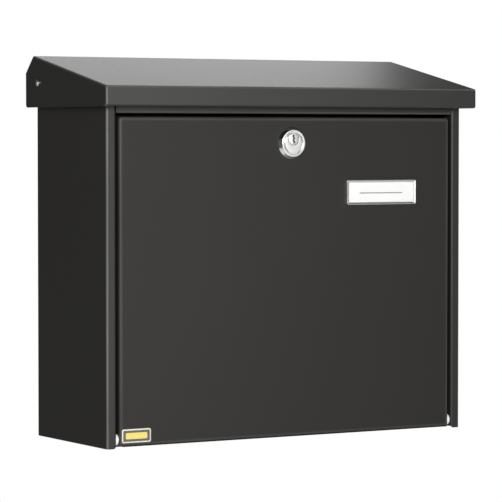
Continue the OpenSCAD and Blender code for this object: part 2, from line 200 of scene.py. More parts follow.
def make_piece(name, points, faces, edge=None, closed=True, crease=32):
    """A mesh object from bench points and faces. A closed one is turned to face outwards.

    edge is one weight a point, kept as the attribute that the coat reads at folds and rims.
    """
    mesh = bpy.data.meshes.new(name)
    mesh.from_pydata(bench_to_frame(points), [], [list(f) for f in faces])
    if edge is None:
        edge = np.zeros(len(points))
    kept = mesh.attributes.new("edge", "FLOAT", "POINT").data
    kept.foreach_set("value", np.asarray(edge, np.float32))
    shell = bmesh.new()
    shell.from_mesh(mesh)
    bmesh.ops.remove_doubles(shell, verts=shell.verts, dist=MERGE)
    if closed:
        bmesh.ops.recalc_face_normals(shell, faces=shell.faces)
    shell.to_mesh(mesh)
    shell.free()
    mesh.shade_smooth()
    mesh.set_sharp_from_angle(angle=math.radians(crease))
    piece = bpy.data.objects.new(name, mesh)
    scene.collection.objects.link(piece)
    return piece


def soften(piece, width=RIM, segments=2, limit=50):
    """Rounds a piece's edges sharper than limit, and keeps its flats flat in the light."""
    bevel = piece.modifiers.new("rounded_rims", "BEVEL")
    bevel.width = width * MM
    bevel.segments = segments
    bevel.limit_method = "ANGLE"
    bevel.angle_limit = math.radians(limit)
    flats = piece.modifiers.new("flat_faces", "WEIGHTED_NORMAL")
    flats.keep_sharp = True


def thicken(piece, thickness=SHEET):
    """Gives an outer skin its sheet thickness, inwards."""
    wall = piece.modifiers.new("sheet", "SOLIDIFY")
    wall.thickness = thickness * MM
    wall.offset = -1
    wall.use_even_offset = True


def new_group(name, inputs, outputs):
    """An empty shader group with named sockets, and its input and output nodes."""
    group = bpy.data.node_groups.new(name, "ShaderNodeTree")
    for label, kind, value in inputs:
        group.interface.new_socket(label, in_out="INPUT", socket_type=kind).default_value = value
    for label, kind in outputs:
        group.interface.new_socket(label, in_out="OUTPUT", socket_type=kind)
    return group, group.nodes.new("NodeGroupInput"), group.nodes.new("NodeGroupOutput")


def node(tree, kind, values=None, **settings):
    """A shader node with its settings and socket values; a value that is a socket is linked."""
    made = tree.nodes.new(kind)
    for key, value in settings.items():
        setattr(made, key, value)
    for key, value in (values or {}).items():
        if isinstance(value, bpy.types.NodeSocket):
            tree.links.new(value, made.inputs[key])
        else:
            made.inputs[key].default_value = value
    return made


def build_finish_group():
    """Slow colour drift, fine grain, and a paler thin coat with a painted highlight at folds, for any finish.

    The drift multiplies the colour by 1 plus Drift times a slow noise, less a half. The grain is a
    fine noise that is the Height and, less a half and times Mottle, is added to the Roughness. The
    piece's own edge attribute, broken up by the slow noise and scaled by the input for thin coat and
    highlight, mixes in the Edge Colour: a paler thin coat with a painted highlight on top.
    """
    group, given, result = new_group(
        "worked_finish",
        [("Colour", "NodeSocketColor", (0.5, 0.5, 0.5, 1)),
         ("Edge Colour", "NodeSocketColor", (0.6, 0.6, 0.6, 1)),
         ("Thin And Highlight", "NodeSocketFloat", 0.0), ("Drift", "NodeSocketFloat", 0.08),
         ("Grain Scale", "NodeSocketFloat", 900.0), ("Roughness", "NodeSocketFloat", 0.4),
         ("Mottle", "NodeSocketFloat", 0.05)],
        [("Colour", "NodeSocketColor"), ("Roughness", "NodeSocketFloat"), ("Height", "NodeSocketFloat")])
    place = node(group, "ShaderNodeTexCoord").outputs["Object"]
    slow = node(group, "ShaderNodeTexNoise", {"Vector": place, "Scale": 7.0, "Detail": 3.0}).outputs["Fac"]
    fine = node(group, "ShaderNodeTexNoise", {
        "Vector": place, "Scale": given.outputs["Grain Scale"], "Detail": 2.0}).outputs["Fac"]
    swing = node(group, "ShaderNodeMath", {0: slow, 1: 0.5}, operation="SUBTRACT").outputs[0]
    shift = node(group, "ShaderNodeMath", {0: swing, 1: given.outputs["Drift"], 2: 1.0},
                 operation="MULTIPLY_ADD").outputs[0]
    drifted = node(group, "ShaderNodeVectorMath", {0: given.outputs["Colour"], "Scale": shift},
                   operation="SCALE").outputs[0]
    fold_weight = node(group, "ShaderNodeAttribute", attribute_name="edge").outputs["Fac"]
    broken = node(group, "ShaderNodeMapRange", {"Value": slow, "From Min": 0.3, "From Max": 0.6,
                                                "To Min": 0.55, "To Max": 1.0}).outputs[0]
    patchy = node(group, "ShaderNodeMath", {0: fold_weight, 1: broken}, operation="MULTIPLY").outputs[0]
    thin_and_highlight = node(group, "ShaderNodeMath", {0: patchy, 1: given.outputs["Thin And Highlight"]},
                operation="MULTIPLY").outputs[0]
    mix = node(group, "ShaderNodeMix", {0: thin_and_highlight, 6: drifted, 7: given.outputs["Edge Colour"]},
               data_type="RGBA")
    grain_swing = node(group, "ShaderNodeMath", {0: fine, 1: 0.5}, operation="SUBTRACT").outputs[0]
    rough = node(group, "ShaderNodeMath", {
        0: grain_swing, 1: given.outputs["Mottle"], 2: given.outputs["Roughness"]},
        operation="MULTIPLY_ADD", use_clamp=True).outputs[0]
    group.links.new(mix.outputs[2], result.inputs["Colour"])
    group.links.new(rough, result.inputs["Roughness"])
    group.links.new(fine, result.inputs["Height"])
    return group


FINISH = build_finish_group()


def finish_material(name, colour, roughness, metallic=0.0, drift=0.10, grain=900.0, mottle=0.06,
                    bump=0.12, bump_mm=0.02, thin_and_highlight=0.0, edge_colour=None, coat=0.0, specular=0.5,
                    alpha=1.0):
    """A material whose colour, roughness and bump come from worked_finish, and the rest is fixed."""
    material = bpy.data.materials.new(name)
    material.use_nodes = True
    tree = material.node_tree
    shader = tree.nodes["Principled BSDF"]
    worked = tree.nodes.new("ShaderNodeGroup")
    worked.node_tree = FINISH
    for key, value in (("Colour", (*colour, 1)), ("Edge Colour", (*(edge_colour or colour), 1)),
                       ("Thin And Highlight", thin_and_highlight), ("Drift", drift), ("Grain Scale", grain),
                       ("Roughness", roughness), ("Mottle", mottle)):
        worked.inputs[key].default_value = value
    relief = node(tree, "ShaderNodeBump", {
        "Strength": bump, "Distance": bump_mm * MM, "Height": worked.outputs["Height"]})
    tree.links.new(worked.outputs["Colour"], shader.inputs["Base Color"])
    tree.links.new(worked.outputs["Roughness"], shader.inputs["Roughness"])
    tree.links.new(relief.outputs[0], shader.inputs["Normal"])
    shader.inputs["Metallic"].default_value = metallic
    shader.inputs["Coat Weight"].default_value = coat
    shader.inputs["Specular IOR Level"].default_value = specular
    shader.inputs["Alpha"].default_value = alpha
    return material


ANTHRACITE = (0.0235, 0.0225, 0.0205)
# The paler colour of folds stands for a thinner coat, and is also a painted highlight.
THIN_COAT_AND_HIGHLIGHT = (0.15, 0.147, 0.138)


def powder_coat(name, depth, specular, thin_and_highlight):
    """Anthracite powder coat: satin, with a fine orange peel, and paler on folds, where it thins and a
    highlight is painted.
    """
    return finish_material(name, tuple(depth * c for c in ANTHRACITE), roughness=0.40, drift=0.16,
                           grain=520.0, mottle=0.10, bump=0.22, bump_mm=0.03, thin_and_highlight=thin_and_highlight,
                           edge_colour=THIN_COAT_AND_HIGHLIGHT, specular=specular)


# Housing, lid and door get the same coat at different depths: painted light and shade, not different paints.
housing_coat = powder_coat("housing_powder_coat", 0.75, specular=0.48, thin_and_highlight=0.95)


def dress(piece, material, body):
    """Puts a new piece's material on it, and makes it ride on its body."""
    piece.data.materials.clear()
    piece.data.materials.append(material)
    if not any(m.type == "WEIGHTED_NORMAL" for m in piece.modifiers):
        piece.modifiers.new("flat_faces", "WEIGHTED_NORMAL").keep_sharp = True
    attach(piece, body)
    return piece


STRIP = 8.75          # visible width of the frame strips
STRIP_FADE = 0.4      # how far the paler thin coat and painted highlight of their folds fade into the flat
RETURN = 14.0         # depth of the return flanges
CORNER = 3.0          # radius of each strip's lower inner corner
CORNER_FROM = 0.5     # how far from the inner edge the corner's arc starts
CORNER_AT = (2.2, 2.6, 3.0)   # distances from the inner edge where points beyond the fold follow it
half_wrap, wrap_depth, _ = bench_box("body_wrap")[1]
return_x = half_wrap - STRIP
LIP_TOP_Z, RIDGE_Z, RIDGE_Y, LID_OVER, PIVOT_Y = 295.0, 322.0, 119.0, 14.0, 110.0
ROOF_SLOPE = (RIDGE_Z - LIP_TOP_Z) / (RIDGE_Y + LID_OVER)
SIDE_UNDER_ROOF = 4.4
BACK_TOP_Z = 307.5
ROW_AT = np.array([0.0, 0.02, 0.5, 0.98, 1.0])    # rows of points, as shares of the sheet's height


def wall_top(y):
    """Top edge of the side walls: it follows the roof to the pivot, then drops to the back panel."""
    under_roof = LIP_TOP_Z + (y + LID_OVER) * ROOF_SLOPE - SIDE_UNDER_ROOF
    at_pivot = LIP_TOP_Z + (PIVOT_Y + LID_OVER) * ROOF_SLOPE - SIDE_UNDER_ROOF
    behind = at_pivot + (y - PIVOT_Y) / (wrap_depth - PIVOT_Y) * (BACK_TOP_Z - at_pivot)
    return np.where(y <= PIVOT_Y, under_roof, behind)


# The plan runs from one return flange round the back to the other. Only the outer folds get the paler
# thin coat and a painted highlight. Each strip's foot rises towards its inner edge by a quarter circle
# of radius CORNER.
half_plan = [(-return_x, RETURN), (-return_x, 0), *[(-return_x - d, 0) for d in CORNER_AT],
             (-half_wrap, 0), (-half_wrap, PIVOT_Y), (-half_wrap, wrap_depth)]
plan = half_plan + [(-x, y) for x, y in half_plan[::-1]]
outline, _, outline_weight = fold(plan, FOLD, lead=STRIP_FADE)
outline_weight *= np.abs(outline[:, 0]) > half_wrap - STRIP / 2
inset = np.clip(np.abs(outline[:, 0]) - return_x, CORNER_FROM, CORNER)
foot = np.where(np.abs(outline[:, 0]) < return_x + CORNER,
                CORNER - np.sqrt(CORNER ** 2 - (CORNER - inset) ** 2), 0)
foot[np.abs(outline[:, 1] - wrap_depth) < TINY] = 0
height = foot[None] + ROW_AT[:, None] * (wall_top(outline[:, 1]) - foot)[None]
wrap_points = np.stack([np.broadcast_to(outline[:, 0], height.shape),
                        np.broadcast_to(outline[:, 1], height.shape), height], -1)
body_sheet = make_piece("body_sheet", wrap_points.reshape(-1, 3), grid_faces(*height.shape)[:, ::-1],
                        edge=np.tile(outline_weight, len(ROW_AT)), closed=False)
thicken(body_sheet)

# The back panel's four screw holes are punched through the thickened sheet.
SCREW_D, PUNCH_L = 6.5, 20.0
screws = frame["record"]["mounts"][0]
spread = (screws["dims"]["spacing_x_mm"] / 2 * MM, screws["dims"]["spacing_y_mm"] / 2 * MM)
screw_centres = [(sx * spread[0], sz * spread[1]) for sx in (-1, 1) for sz in (-1, 1)]
punch_shell = bmesh.new()
level = Vector((0, 1, 0)).to_track_quat("Z", "Y").to_matrix()
for px, pz in screw_centres:
    made = bmesh.ops.create_cone(punch_shell, cap_ends=True, segments=40, radius1=SCREW_D / 2 * MM,
                                 radius2=SCREW_D / 2 * MM, depth=PUNCH_L * MM)
    bmesh.ops.rotate(punch_shell, verts=made["verts"], matrix=level)
    bmesh.ops.translate(punch_shell, verts=made["verts"], vec=(px, wrap_high.y, pz))
punch_mesh = bpy.data.meshes.new("punch")
punch_shell.to_mesh(punch_mesh)
punch_shell.free()
punch = bpy.data.objects.new("punch", punch_mesh)
scene.collection.objects.link(punch)
holes = body_sheet.modifiers.new("screw_holes", "BOOLEAN")
holes.operation = "DIFFERENCE"
holes.object = punch
bpy.context.view_layer.update()
punched = bpy.data.meshes.new_from_object(body_sheet.evaluated_get(bpy.context.evaluated_depsgraph_get()))
body_sheet.modifiers.clear()
body_sheet.data = punched
bpy.data.objects.remove(punch)
soften(body_sheet)
dress(body_sheet, housing_coat, "housing")
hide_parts("body_wrap")

# The back panel's top edge is stiffened by a flange that is folded forward inside the side walls.
FLANGE_DEEP, FLANGE_DOWN, FLANGE_ROOT, FLANGE_FOLD, FLANGE_FADE = 10.0, 1.0, 0.8, 0.5, 0.2
HIDDEN = 0.02         # a gap too small to see, so that two sheets don't share a face


def carried_across(section, across):
    """A section's (Y, Z) points set at every X in across, one row of the grid for each of them."""
    return np.stack([np.tile(across, (len(section), 1)),
                     np.repeat(section[:, :1], len(across), 1),
                     np.repeat(section[:, 1:], len(across), 1)], -1).reshape(-1, 3)


flange_z = BACK_TOP_Z - FLANGE_DOWN
panel_face = wrap_depth - SHEET - HIDDEN
section, _, section_weight = fold(
    [(panel_face - FLANGE_DEEP, flange_z), (panel_face, flange_z),
     (panel_face, flange_z + FLANGE_ROOT)], FLANGE_FOLD, lead=FLANGE_FADE)
across = (half_wrap - SHEET - HIDDEN) * np.array([-1, -0.99, 0, 0.99, 1])
flange = make_piece("back_flange", carried_across(section, across), grid_faces(len(section), len(across)),
                    edge=np.repeat(section_weight, len(across)), closed=False)
thicken(flange)
soften(flange)
dress(flange, housing_coat, "housing")

# ---------------------------------------------------------------- floor, guard and header
# A floor tray with an upturned lip, welded in, and a sloping guard behind the letter slot, riveted on,
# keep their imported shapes. The header is a U-shaped strip of the same coated sheet, welded in above
# the door; its lower flange holds the lock's cam.
PACKED_MERGE = 1e-6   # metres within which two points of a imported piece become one


def dress_packed(name, material, width=0.25):
    """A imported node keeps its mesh: it is welded, its edges are rounded, and it gets a finish."""
    piece = frame["nodes"][name]
    weld = piece.modifiers.new("weld", "WELD")
    weld.merge_threshold = PACKED_MERGE
    soften(piece, width=width)
    piece.data.materials.clear()
    piece.data.materials.append(material)


for packed in ("floor_panel", "mail_guard"):
    dress_packed(packed, housing_coat)

HEADER_LOW, HEADER_HIGH = bench_box("front_header")
HEADER_THIN_AND_HIGHLIGHT = 0.4     # how much of the paler thin coat and painted highlight its folds show
TAB_FADE = 2.0        # how far that fades out before each end tab
section, _, section_weight = fold(
    [(HEADER_HIGH[1], HEADER_LOW[2]), (0, HEADER_LOW[2]), (0, HEADER_HIGH[2]),
     (HEADER_HIGH[1], HEADER_HIGH[2])], FOLD)
across = np.array([-return_x, -return_x + TAB_FADE, 0, return_x - TAB_FADE, return_x])
left_end = np.arange(len(section)) * len(across)
end_tabs = [left_end, left_end[::-1] + len(across) - 1]
header = make_piece("header_strip", carried_across(section, across),
                    [*grid_faces(len(section), len(across)), *end_tabs],
                    edge=HEADER_THIN_AND_HIGHLIGHT * np.outer(section_weight, [0, 1, 1, 1, 0]).reshape(-1), closed=False)
thicken(header)
soften(header)
dress(header, housing_coat, "housing")
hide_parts("front_header")

# ---------------------------------------------------------------- turned parts of the housing
# Spacers of black plastic hold the back off the wall, rubber buffers carry the closed lid, and blind
# rivets hold the guard. All are round, so each is a profile carried round its own axis.


def turned(name, profile, centres, axis, fillet=0.25, steps=48):
    """Profiles of (radius, distance along the axis) carried round one or more centres.

    Each corner of the profile is rounded by fillet. A profile that starts and ends on the axis is a
    solid; any other is a ring, and joins its end to its start.
    """
    solid = abs(profile[0][0]) < TINY
    corners = profile if solid else [*profile, profile[0]]
    line = fold(corners, fillet, steps=3, lead=0)[0]
    if not solid:
        line = line[:-1]
    angle = np.linspace(0, 2 * math.pi, steps, endpoint=False)
    radius, distance = np.maximum(line[:, :1], 0), np.repeat(line[:, 1:], steps, 1)
    one, two = radius * np.cos(angle), radius * np.sin(angle)
    local = {"x": (distance, one, two), "y": (one, distance, two), "z": (one, two, distance)}[axis]
    shape = np.stack(local, -1)
    if not solid:
        shape = np.concatenate([shape, shape[:1]])
    quads = grid_faces(len(shape), steps, wrap=True)
    points = np.concatenate([(shape + centre).reshape(-1, 3) for centre in centres])
    faces = np.concatenate([quads + k * shape.shape[0] * steps for k in range(len(centres))])
    return make_piece(name, points, faces)


def mirrored(parts):
    """Profiles with their distances turned round, for the same part on the other side."""
    return [(radius, -distance) for radius, distance in parts]


black_plastic = finish_material("moulded_black_plastic", (0.02, 0.02, 0.021), 0.5, grain=700.0, bump=0.3)
black_rubber = finish_material("buffer_rubber", (0.018, 0.018, 0.018), 0.75, grain=400.0, bump=0.4)
rivet_metal = finish_material("rivet_aluminium", (0.72, 0.72, 0.73), 0.32, metallic=1.0, drift=0.06,
                              grain=1500.0)

SPACER_LOW, SPACER_HIGH = bench_box("wall_spacers")
BORE_R, WAIST_R, FOOT_R, WAIST_FROM, FOOT_L = SCREW_D / 2, 8.2, 10.0, 2.4, 1.4
spacer_l = SPACER_HIGH[1] - SPACER_LOW[1]
screw_bench = [(x / MM, SPACER_LOW[1], (z - wrap_low.z) / MM) for x, z in screw_centres]
spacers = turned("spacer_rings", [(BORE_R, 0), (9, 0), (9.2, 1.5), (WAIST_R, WAIST_FROM),
                                  (WAIST_R, spacer_l - WAIST_FROM), (FOOT_R, spacer_l - FOOT_L),
                                  (FOOT_R, spacer_l), (BORE_R, spacer_l)],
                 screw_bench, "y", fillet=0.3)
dress(spacers, black_plastic, "housing")
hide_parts("wall_spacers")

BUFFER_LOW, BUFFER_HIGH = bench_box("lid_buffers")
BUFFER_R, DOME_R, DOME_FROM = 4.5, 3.1, 1.2
buffer_h = BUFFER_HIGH[2] - BUFFER_LOW[2]
buffer_x = BUFFER_HIGH[0] - BUFFER_R
buffers = turned("buffer_domes", [(0, 0), (BUFFER_R, 0), (BUFFER_R - 0.1, DOME_FROM), (DOME_R, buffer_h),
                                  (0, buffer_h)],
                 [(sx * buffer_x, (BUFFER_LOW[1] + BUFFER_HIGH[1]) / 2, BUFFER_LOW[2]) for sx in (-1, 1)],
                 "z", fillet=0.8)
dress(buffers, black_rubber, "housing")
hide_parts("lid_buffers")

RIVET_X = (-150, -50, 50, 150)
RIVET_LOW, RIVET_HIGH = bench_box("guard_rivets")
TAIL_R, SHANK_R, RIVET_HEAD_R, RIVET_HEAD_FROM = 2.3, 1.6, 3.25, 3.5
rivet_z = (RIVET_LOW[2] + RIVET_HIGH[2]) / 2
rivet_l = RIVET_HIGH[1] - RIVET_LOW[1]
rivets = turned("rivet_heads", [(0, 0), (TAIL_R, 0), (TAIL_R, 2.3), (SHANK_R, 2.4),
                                (SHANK_R, RIVET_HEAD_FROM), (RIVET_HEAD_R, RIVET_HEAD_FROM),
                                (RIVET_HEAD_R - 0.15, 4.1), (1.8, rivet_l - 0.1), (0, rivet_l)],
                [(x, RIVET_LOW[1], rivet_z) for x in RIVET_X], "y", fillet=0.1)
dress(rivets, rivet_metal, "housing")
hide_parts("guard_rivets")

# ---------------------------------------------------------------- lid
# One sheet: an inturned foot under the lip, the lip, the roof, a bevel at the rear and two side
# flaps, with rounded folds between them all. It turns on two steel pins in nylon bushes.
# The lid's copy of the coat is the darkest, as painted shade.
lid_coat = powder_coat("lid_powder_coat", 0.55, specular=0.74, thin_and_highlight=0.9)
LID_LOW, LID_HIGH = bench_box("lid_cover")
LID_SIDE_FOLD, SIDE_THIN_AND_HIGHLIGHT = 1.6, 0.5
FOOT_DEPTH = 5.0
BEVEL_Z, BEVEL_SHORT, REAR_DROP, REAR_CORNER = 309.0, 0.9, 1.0, 3.0
half_lid = LID_HIGH[0]
lid_front, lid_rear, lid_low = LID_LOW[1], LID_HIGH[1], LID_LOW[2]
bevel_slope = (BEVEL_Z - RIDGE_Z) / (lid_rear - RIDGE_Y)
bevel_end = lid_rear - BEVEL_SHORT
profile, outward, profile_weight = fold(
    [(lid_front + FOOT_DEPTH, lid_low), (lid_front, lid_low), (lid_front, LIP_TOP_Z), (RIDGE_Y, RIDGE_Z),
     (bevel_end, RIDGE_Z + (bevel_end - RIDGE_Y) * bevel_slope)], FOLD)
# Across the lid: on each side the skin turns a quarter round, so a point lies the fold's radius
# times (1 - cos) inside the profile and the same radius times sin towards the flap.
quarter = np.linspace(0, math.pi / 2, 9)
sideways = half_lid - LID_SIDE_FOLD + LID_SIDE_FOLD * np.sin(quarter)
inwards = LID_SIDE_FOLD * (1 - np.cos(quarter))
support = half_lid - LID_SIDE_FOLD - LEAD
cross_x = np.concatenate([-sideways[::-1], [-support, 0, support], sideways])
cross_in = np.concatenate([inwards[::-1], [0, 0, 0], inwards])
cross_weight = np.concatenate([np.sin(2 * quarter), np.zeros(3), np.sin(2 * quarter)])
skin_yz = profile[:, None] - outward[:, None] * cross_in[None, :, None]
skin = np.concatenate([np.broadcast_to(cross_x[None, :, None], (*skin_yz.shape[:2], 1)), skin_yz], -1)
rows, columns = skin.shape[:2]
turn = np.radians(np.arange(0, 91, 15))
rim_yz = np.concatenate([
    [(lid_rear, BEVEL_Z - REAR_DROP)],
    np.stack([lid_rear - REAR_CORNER + REAR_CORNER * np.cos(turn),
              lid_low + REAR_CORNER - REAR_CORNER * np.sin(turn)], -1),
    [(lid_front + FOOT_DEPTH, lid_low)]])
rim = np.concatenate([np.column_stack([np.full(len(rim_yz), sx * half_lid), rim_yz]) for sx in (-1, 1)])
# Each flap is one flat face between the skin's edge and the rim. Its points carry no thin coat or painted
# highlight.
left_edge = np.arange(rows) * columns
right_edge = left_edge + columns - 1
first_rim = rows * columns
flaps = [np.concatenate([left_edge, first_rim + np.arange(len(rim_yz))]),
         np.concatenate([right_edge, first_rim + len(rim_yz) + np.arange(len(rim_yz))])[::-1]]
lid_points = np.concatenate([skin.reshape(-1, 3), rim])
# The lid's folds, all but those round the foot, get the paler thin coat and a painted highlight; the side
# folds get less.
profile_weight *= profile[:, 1] > lid_low + 2 * FOLD
skin_weight = np.maximum(profile_weight[:, None], SIDE_THIN_AND_HIGHLIGHT * cross_weight[None])
skin_weight[:, [0, -1]] = 0
lid_edge = np.concatenate([skin_weight.reshape(-1), np.zeros(len(rim))])
lid_faces = [*grid_faces(rows, columns), *flaps]
lid = make_piece("lid_sheet", lid_points, lid_faces, edge=lid_edge, closed=False)
thicken(lid)
soften(lid)
dress(lid, lid_coat, "lid")
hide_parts("lid_cover")

turned_steel = finish_material("turned_steel", (0.56, 0.56, 0.57), 0.28, metallic=1.0, drift=0.08,
                               grain=1800.0)
clip_steel = finish_material("spring_steel", (0.40, 0.41, 0.43), 0.35, metallic=1.0, drift=0.15,
                             grain=1200.0)
nylon = finish_material("white_nylon", (0.86, 0.86, 0.84), 0.42, drift=0.04, grain=600.0, bump=0.15)
PIN_R, PIN_HEAD_R, HEAD_GAP, HEAD_SIDE = 2.0, 3.0, 0.1, 0.6
PIN_LOW, PIN_HIGH = bench_box("lid_pin_right")
pin_z = (PIN_LOW[2] + PIN_HIGH[2]) / 2
pin_l = PIN_HIGH[0] - PIN_LOW[0]
head_from = half_lid + HEAD_GAP - PIN_LOW[0]
pin_profile = [(0, 0), (PIN_R - 0.3, 0), (PIN_R, 0.4), (PIN_R, head_from), (PIN_HEAD_R, head_from),
               (PIN_HEAD_R - 0.1, head_from + HEAD_SIDE), (1.6, pin_l - 0.15), (0, pin_l)]
BUSH_BORE_R, BUSH_R, BUSH_WAIST_R = PIN_R + 0.05, 4.5, 3.6
bush_l = bench_box("lid_bushes")[1][0] - half_wrap
for side, sx, shape in (("left", -1, mirrored(pin_profile)), ("right", 1, pin_profile)):
    pin = turned(f"pin_{side}", shape, [(sx * PIN_LOW[0], PIVOT_Y, pin_z)], "x", fillet=0.15)
    dress(pin, turned_steel, "housing")
    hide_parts(f"lid_pin_{side}")
bush_profile = [(BUSH_BORE_R, 0), (BUSH_R, 0), (BUSH_R, 1.2), (BUSH_WAIST_R, 1.6),
                (BUSH_WAIST_R, bush_l - 1.6), (BUSH_R, bush_l - 1.2), (BUSH_R, bush_l),
                (BUSH_BORE_R, bush_l)]
bush_pair = turned("bush_pair", bush_profile,
                   [(half_wrap, PIVOT_Y, pin_z), (-half_wrap - bush_l, PIVOT_Y, pin_z)], "x", fillet=0.2)
dress(bush_pair, nylon, "housing")
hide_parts("lid_bushes")
dress_packed("lid_pin_clips", clip_steel, width=0.12)

# ---------------------------------------------------------------- door
# A shallow tray of the same sheet, with every edge folded back and its corners welded and dressed.
# It hangs on two white nylon pivots whose collars show in the gaps at its lower corners.
# The door's copy of the coat is the palest, as painted light.
door_coat = powder_coat("door_powder_coat", 0.88, specular=0.27, thin_and_highlight=0.25)
DOOR_LOW, DOOR_HIGH = bench_box("door_panel")
DOOR_CORNER, DOOR_FOLD, LOW_FLANGE = 2.6, 1.7, 7.5
EDGE_CUT, EDGE_THIN_AND_HIGHLIGHT = 0.08, 0.6       # rounding, and paler thin coat with a painted highlight, of the flanges' free edges
LEAST_CORNER = 0.05   # radius below which a corner is not drawn in further
FLANGE_FROM = 3.0     # depth past which a row lies on the flange
CLIMB, CLIMB_FROM = 2.0, 0.9  # how steeply and from where low_side climbs


def rounded_loop(width, height, corner, steps=6):
    """Points and outward normals round a rectangle with round corners, centred, in (X, Z).

    Each corner is a quarter circle round the point that lies corner in from both of its sides.
    """
    angle = np.linspace(0, math.pi / 2, steps + 1)
    points, normals = [], []
    for k, (sx, sz) in enumerate(((1, 1), (-1, 1), (-1, -1), (1, -1))):
        spoke = np.stack([np.cos(angle + k * math.pi / 2), np.sin(angle + k * math.pi / 2)], -1)
        points.append(np.array([sx * (width / 2 - corner), sz * (height / 2 - corner)]) + corner * spoke)
        normals.append(spoke)
    return np.concatenate(points), np.concatenate(normals)


def looped(name, low, high, corner, rows, reach=None, **settings):
    """A closed piece whose rows of (inset, depth, edge weight) run round a rounded rectangle.

    Each row is the outline moved in by its inset and back by its depth; reach, where given, limits
    the flange's depth round the loop. An inset past the corner's radius shrinks the whole rectangle
    evenly. The first and last rows are closed with one flat face each.
    """
    outline, normals = rounded_loop(high[0] - low[0], high[1] - low[1], corner)
    middle = (np.array(low) + np.array(high)) / 2
    inset, depth, weight = (np.array(column, float) for column in zip(*rows))
    most = corner - LEAST_CORNER
    flat = middle + outline[None] - normals[None] * np.minimum(inset, most)[:, None, None]
    flat = flat - np.maximum(inset - most, 0)[:, None, None] * np.sign(outline)[None]
    deep = np.repeat(depth[:, None], len(outline), 1)
    if reach is not None:
        deep = np.where(deep > FLANGE_FROM, deep - (depth.max() - reach)[None], deep)
    points = np.stack([flat[..., 0], deep, flat[..., 1]], -1)
    count = len(outline)
    faces = [*grid_faces(len(rows), count, wrap=True), np.arange(count),
             np.arange(count)[::-1] + (len(rows) - 1) * count]
    return make_piece(name, points.reshape(-1, 3), faces, edge=np.repeat(weight, count), **settings)


bend = np.linspace(0, math.pi / 2, 8)
door_depth = DOOR_HIGH[1]
# The front fold's rows carry weight 1: a paler thin coat with a painted highlight.
outer_rows = [(DOOR_FOLD + LEAD, 0, 0)] + [
    (DOOR_FOLD * (1 - math.sin(a)), DOOR_FOLD * (1 - math.cos(a)), 1) for a in bend]
inner_fold = DOOR_FOLD - SHEET
inner_rows = [(SHEET + inner_fold * (1 - math.sin(a)), SHEET + inner_fold * (1 - math.cos(a)), 0)
              for a in bend[::-1]] + [(DOOR_FOLD + LEAD, SHEET, 0)]
flange_rows = [(0, DOOR_FOLD + LEAD, 0), (0, door_depth - RIM, 0),
               (EDGE_CUT, door_depth - EDGE_CUT, EDGE_THIN_AND_HIGHLIGHT), (RIM, door_depth, EDGE_THIN_AND_HIGHLIGHT),
               (SHEET - RIM, door_depth, EDGE_THIN_AND_HIGHLIGHT), (SHEET - EDGE_CUT, door_depth - EDGE_CUT, EDGE_THIN_AND_HIGHLIGHT),
               (SHEET, door_depth - RIM, 0)]
# The lower flange is shallower than the others. low_side is 1 along it and 0 along the other three,
# and climbs in each lower corner as the outline turns downwards.
_, door_normals = rounded_loop(DOOR_HIGH[0] - DOOR_LOW[0], DOOR_HIGH[2] - DOOR_LOW[2], DOOR_CORNER)
low_side = np.clip(-door_normals[:, 1] * CLIMB - CLIMB_FROM, 0, 1)
door_reach = door_depth - low_side * (door_depth - LOW_FLANGE)
door = looped("door_tray", (DOOR_LOW[0], DOOR_LOW[2]), (DOOR_HIGH[0], DOOR_HIGH[2]), DOOR_CORNER,
              outer_rows + flange_rows + inner_rows, reach=door_reach)
dress(door, door_coat, "door")
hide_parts("door_panel")

PIVOT_LOW, PIVOT_HIGH = bench_box("door_pivot_right")
_, pivot_y, pivot_z = (PIVOT_LOW + PIVOT_HIGH) / 2
PIVOT_PIN_R, COLLAR_GAP, COLLAR_END = 2.5, 0.2, 2.95
BARB_R, BARB_TIP_R, BARB_L = 3.75, 3.0, 1.6
collar_from, collar_to = DOOR_HIGH[0] + COLLAR_GAP - PIVOT_LOW[0], DOOR_HIGH[0] + COLLAR_END - PIVOT_LOW[0]
collar_r = (PIVOT_HIGH[2] - PIVOT_LOW[2]) / 2
pivot_l = PIVOT_HIGH[0] - PIVOT_LOW[0]
pivot_profile = [(0, 0), (PIVOT_PIN_R, 0), (PIVOT_PIN_R, collar_from), (collar_r, collar_from),
                 (collar_r, collar_to), (PIVOT_PIN_R, collar_to), (PIVOT_PIN_R, pivot_l - BARB_L),
                 (BARB_R, pivot_l - BARB_L), (BARB_TIP_R, pivot_l), (0, pivot_l)]
for side, sx, shape in (("left", -1, mirrored(pivot_profile)), ("right", 1, pivot_profile)):
    pivot = turned(f"pivot_{side}", shape, [(sx * PIVOT_LOW[0], pivot_y, pivot_z)], "x", fillet=0.3)
    dress(pivot, nylon, "housing")
    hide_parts(f"door_pivot_{side}")

# ---------------------------------------------------------------- lock
# A chromed cam lock: a conical face ring with a groove, a barrel with two flats through the door, a
# plug set above the middle with a crooked keyway, and a nut, stop washer and cam on the back.
chrome = finish_material("polished_chrome", (0.90, 0.90, 0.91), 0.14, metallic=1.0, drift=0.04, grain=1500.0,
                         mottle=0.05, bump=0.03)
plug_metal = finish_material("satin_chrome", (0.80, 0.80, 0.79), 0.36, metallic=1.0, drift=0.05,
                             grain=1400.0, mottle=0.1, bump=0.06)
zinc = finish_material("zinc_plate", (0.62, 0.63, 0.66), 0.36, metallic=1.0, drift=0.22, grain=420.0,
                       mottle=0.2)
LOCK_LOW, LOCK_HIGH = bench_box("lock_body")
PLUG_LOW, PLUG_HIGH = bench_box("lock_plug")
lock_centre = (LOCK_LOW + LOCK_HIGH) / 2
base_r = (LOCK_HIGH[0] - LOCK_LOW[0]) / 2
proud = -LOCK_LOW[1]
